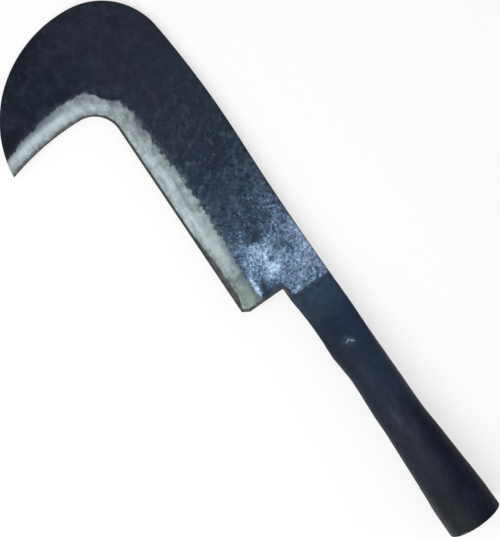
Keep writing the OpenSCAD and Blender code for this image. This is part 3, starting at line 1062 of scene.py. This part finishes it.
def socket_material():
    g = Surface("socket_scale")
    along, across, _ = g.parts(g.place)
    # The base by x, with painted shade over the slope behind the neck and painted light on the flat neck
    ramp = g.tree.nodes.new("ShaderNodeValToRGB")
    ramp.color_ramp.interpolation = "EASE"
    for _ in SOCKET_TONES[2:]:
        ramp.color_ramp.elements.new(0.5)
    for element, (x, tone) in zip(ramp.color_ramp.elements, SOCKET_TONES):
        element.position = x / TONES_END
        element.color = paint(*tone)
    g.tree.links.new(g.times(along, 1 / TONES_END), ramp.inputs[0])
    g.colour = ramp.outputs[0]
    clouds = g.noise(22, detail=2)
    g.coat(SOCKET_CLOUD, (clouds, 0.42, 0.62), 0.3)

    # Painted light and shade on the two sides of the tube: the cutting side lighter and warmer towards the
    # mouth, with a paler upper edge, and darker along the grip; the other side darker and bluer towards the
    # mouth and lighter and bluer towards the neck
    front = g.step(g.add(across, (clouds, 5)), -1, 10)
    g.coat(LIT_WARM_MOUTH_SIDE, (along, 5, 45, 1, 0), front, 0.65)
    g.coat(SHADED_GRIP_SIDE, (along, 45, 75), (along, 125, 160, 1, 0), front, 0.6)
    lower = g.step(g.add(across, (clouds, 4)), -9, 1.5, 1, 0)
    g.coat(SHADED_MOUTH_SIDE, (along, 60, 104, 1, 0), lower, 0.92)
    g.coat(LIT_NECK_SIDE, (along, 76, 112), lower, 0.36)
    g.coat(LIT_SIDE_EDGE, (across, 13.5, 18), (along, 34, 70, 1, 0), 0.5)

    # Smears, a painted highlight along the middle of the grip, specks and flakes
    smears = g.noise(7, g.turned(-14, 3))
    g.coat(PALE_SMEAR, (smears, 0.48, 0.7), 0.3)
    # Painted highlight: a lighter, streaky band along the middle of the grip
    middle = g.step(g.absolute(g.join("SUBTRACT", across, 2.0)), 1, 6, 1, 0)
    highlight_streaks = g.step(g.noise(9, g.turned(-8, 2.6)), 0.40, 0.62)
    g.coat(PAINTED_GRIP_HIGHLIGHT, highlight_streaks, middle, (along, 42, 62), (along, 98, 122, 1, 0), 0.55)
    fine = g.noise(1.2, detail=4, roughness=0.7)
    g.coat(PALE_SPECK, (fine, 0.5, 0.75), 0.22)
    flakes = g.noise(3.4, g.turned(20, 1.5), detail=4, roughness=0.62)
    g.coat(DARK_FLAKE, (flakes, 0.50, 0.62), 0.22)
    g.coat(PALE_FLAKE, (flakes, 0.46, 0.32), 0.12)

    # Rust inside, a painted glow round the glint on the hammer mark, and metal bared by wear at the mouth,
    # with the glint on the hammer mark painted as bright metal
    g.coat(g.mix(*INSIDE_RUST, (flakes, 0.42, 0.6)), (g.attribute("inner"), 0.4, 0.6), 0.8)
    halo = g.attribute("halo")
    g.coat(PAINTED_GLINT_HALO, (g.add(g.times(halo, 0.7), (flakes, 0.8)), 0.1, 0.9), halo, 0.4)
    worn = g.step(g.add(g.attribute("worn"), (fine, 0.25), (smears, 0.5)), 0.35, 1.0)
    g.coat(BARE_METAL_AND_GLINT, worn)
    roughness = g.add(g.step(smears, 0.35, 0.7, 0.50, 0.60), (fine, 0.05), g.times(worn, -0.15))
    metallic = g.step(worn, 0, 1, 0.0, 0.8)
    relief = g.add(g.times(fine, 0.4), g.times(smears, 0.4), g.times(flakes, 0.6))
    return g.finish(roughness, metallic, 0.08, relief, 0.12, 0.8)


def weld_material():
    g = Surface("weld_bead")
    fine = g.noise(0.8, detail=4, roughness=0.7)
    g.colour = g.mix(*BEAD, (g.noise(4), 0.4, 0.62))
    g.coat(BEAD_SPECK, (fine, 0.52, 0.75), 0.4)
    return g.finish(g.step(fine, 0.3, 0.7, 0.42, 0.58), 0.4, 0.25, fine, 0.08, 0.7)


# Pieces

# Lighter and darker stretches of the ground band: hills along the edge and into the blade
BAND_STRETCHES = [
    (-0.20, (147, 8), (19, 9)), (0.22, (221, 4.5), (7, 2.5)), (0.60, (195, 6.6), (34, 2.6)),
    (0.34, (85, 6.5), (50, 2.6)), (-0.30, (46, 4), (13, 1.8)), (0.40, (46, 10.5), (14, 2.4)),
    (0.28, (133, 3.6), (15, 3)), (-0.35, (16, 14), (18, 1.6))]

# Where the band is greenish: hills over x and y
GREEN_PATCHES = [(0.75, (196, 36.5), (7, 4.5)), (0.25, (224, 34), (26, 5))]


def distance_to_outer(x, y):
    tree = KDTree(len(outer_line))
    for i, point in enumerate(outer_line):
        tree.insert((*point, 0), i)
    tree.balance()
    return np.array([tree.find((px, py, 0))[2] for px, py in zip(x, y)])


# How dark the facet at the edge is painted: partly its own tint, partly painted shade
def facet_tint_and_shade(along, depth):
    width = facet_width(along)
    facet = 1.15 * (1 - ease(depth, width * 0.5, width * 1.3))
    facet = facet * (1 - 0.2 * ease(along, 10, 40)) * (1 - 0.44 * ease(along, 140, 168))
    paler = 0.35 * hill(along, depth, (34, 2.0), (22, 0.55))
    return facet - paler + 0.35 * (1 - ease(depth, 0.2, 0.9))


def dress_blade(piece):
    """Stores what the blade's material asks about each point."""
    x, y, z = places(piece)
    along, depth = edge.measure(x, y)
    ground, silver = np.zeros(len(x)), np.zeros(len(x))
    for side in SIDES:
        here = (z >= 0) == (side == FRONT)
        forged, flat = blade_heights(x[here], y[here], side)
        ground[here] = (forged - flat) / GRIND_SLOPE
        silver[here] = silver_cover(x[here], y[here], side)
    tone = 0.40 + 0.21 * ease(along, 24, 58) - 0.03 * ease(along, 40, 60)
    tone = tone - 0.08 * ease(along, 200, 216) + 0.22 * hill(x, y, (194, 42.2), (4.5, 1.8))
    give(piece, ground=ground, silver=silver, depth=depth,
         worked=1 - 0.6 * ease(x, 266, 320) - 0.38 * ease(x, 315, 350),
         ragged=0.45 + 0.55 * ease(x, 222, 245) * (1 - ease(along, 158, 168)),
         tone=hills(along, depth, BAND_STRETCHES, tone),
         grey=0.2 + 0.7 * ease(along, 170, 196),
         green=hills(x, y, GREEN_PATCHES),
         facet=facet_tint_and_shade(along, depth),
         rim=0.7 * (1 - ease(distance_to_outer(x, y), 0.2, 1.0)),
         heel=1 - ease(heel_distance(x, y), 1.1, 3.2))
    return piece


def dress_socket(piece):
    """Stores what the socket's material asks about each point."""
    x, y, z = places(piece)
    outside = np.hypot(y, z) > MOUTH_R - 1.2
    rim = 0.55 * (1 - ease(x, 0.1, 1.4)) * outside
    # The hammer mark is painted bright and metallic as a glint, and a soft glow round it is painted as well
    mark = hammer_mark(x, y) * (z > 0) * (x > 130) * (x < 146)
    spot = 0.45 * hill(x, y, (1.0, 10.5), (2.6, 3.5)) * (z > 0) * outside
    half_width, half_height = socket_size(x)[1:3]
    reach = np.hypot(y / half_width, z / half_height)
    give(piece, worn=np.clip(rim + 1.4 * mark + spot, 0, 1.5),
         halo=hill(x, y, (139, 1), (5.5, 6), -30) * (z > 0),
         inner=(reach < 0.93) * (x < TANG_END_X))
    return piece


weld = weld_material()
pieces = [
    (dress_blade(make_blade_body()), "blade_body", "forged_iron",
     blade_material("forged_blade", IRON_WALL)),
    (dress_blade(make_edge_steel()), "edge_steel", "hard_steel",
     blade_material("ground_steel", STEEL_WALL)),
    (dress_socket(make_handle_socket()), "handle_socket", "socket_iron", socket_material()),
    (make_neck_weld("neck_weld_front_bead", FRONT), "neck_weld_front", "weld_iron", weld),
    (make_neck_weld("neck_weld_back_bead", BACK), "neck_weld_back", "weld_iron", weld),
    (make_seam_weld(), "seam_weld", "weld_iron", weld)]
for piece, node, slot, material in pieces:
    piece.data.materials.append(material)
    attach(piece, "root")
    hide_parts(node)


# Floor, light and camera

def face_matrix(location, right, up):
    """Puts a lamp or camera at a location, with its own x and y along these directions."""
    axes = np.array([right, up, np.cross(right, up)]).T
    return Matrix.Translation(location) @ Matrix(axes.tolist()).to_4x4()


def make_floor():
    """A pale floor through the lowest point of the mouth and of the nose, as the tool lies."""
    slope = (FLOOR_HIGH[1] - FLOOR_LOW[1]) / (FLOOR_HIGH[0] - FLOOR_LOW[0])
    points = []
    for side_x, side_y in ((-1, -1), (1, -1), (1, 1), (-1, 1)):
        x, y = side_x * FLOOR_HALF + FLOOR_MIDDLE_X, side_y * FLOOR_HALF
        points.append((x * MM, y * MM, (FLOOR_LOW[1] + (x - FLOOR_LOW[0]) * slope) * MM))
    mesh = bpy.data.meshes.new("floor")
    mesh.from_pydata(points, [], [(0, 1, 2, 3)])
    floor = place_object("floor", mesh)
    material = bpy.data.materials.new("pale_floor")
    mesh.materials.append(material)
    g = Graph(material)
    plain = g.node("BsdfDiffuse", {"Color": FLOOR_COLOUR})[0]
    seen = g.node("BsdfDiffuse", {"Color": FLOOR_SEEN_COLOUR})[0]
    glow = g.node("Emission", {"Strength": 0.66})[0]
    both = g.node("AddShader", {0: seen, 1: glow})[0]
    direct = g.seen_directly("Is Camera Ray", "Is Glossy Ray")
    pick = g.node("MixShader", {0: direct, 1: plain, 2: both})[0]
    g.node("OutputMaterial", {"Surface": pick})


def make_world():
    """A white background that gives less light than it shows."""
    world = bpy.data.worlds.new("studio")
    bpy.context.scene.world = world
    g = Graph(world)
    direct = g.seen_directly("Is Camera Ray", "Is Glossy Ray", "Is Transmission Ray")
    strength = g.node("MapRange", {"Value": direct, "To Min": 0.38, "To Max": 1.0})[0]
    sky = g.node("Background", {"Color": (1, 1, 1, 1), "Strength": strength})[0]
    g.node("OutputWorld", {"Surface": sky})


def make_lamp():
    data = bpy.data.lights.new("key", "AREA")
    data.shape = "SQUARE"
    data.size = 0.9
    data.energy = 8.0
    away = np.array(LAMP_PLACE) - np.array(LAMP_TARGET)
    away /= np.linalg.norm(away)
    right = np.cross((0.0, 1.0, 0.0), away)
    right /= np.linalg.norm(right)
    place_object("key", data).matrix_world = face_matrix(LAMP_PLACE, right, np.cross(away, right))


def make_camera():
    """Square above the flat of the blade, turned as the photograph was taken."""
    data = bpy.data.cameras.new("camera")
    data.sensor_width = 36.0
    data.lens = 78.85
    data.clip_start = 0.01
    camera = place_object("camera", data)
    camera.matrix_world = face_matrix(CAMERA_PLACE, CAMERA_RIGHT, CAMERA_UP)
    bpy.context.scene.camera = camera


make_floor()
make_world()
make_lamp()
make_camera()
bpy.context.scene.view_settings.view_transform = "Standard"
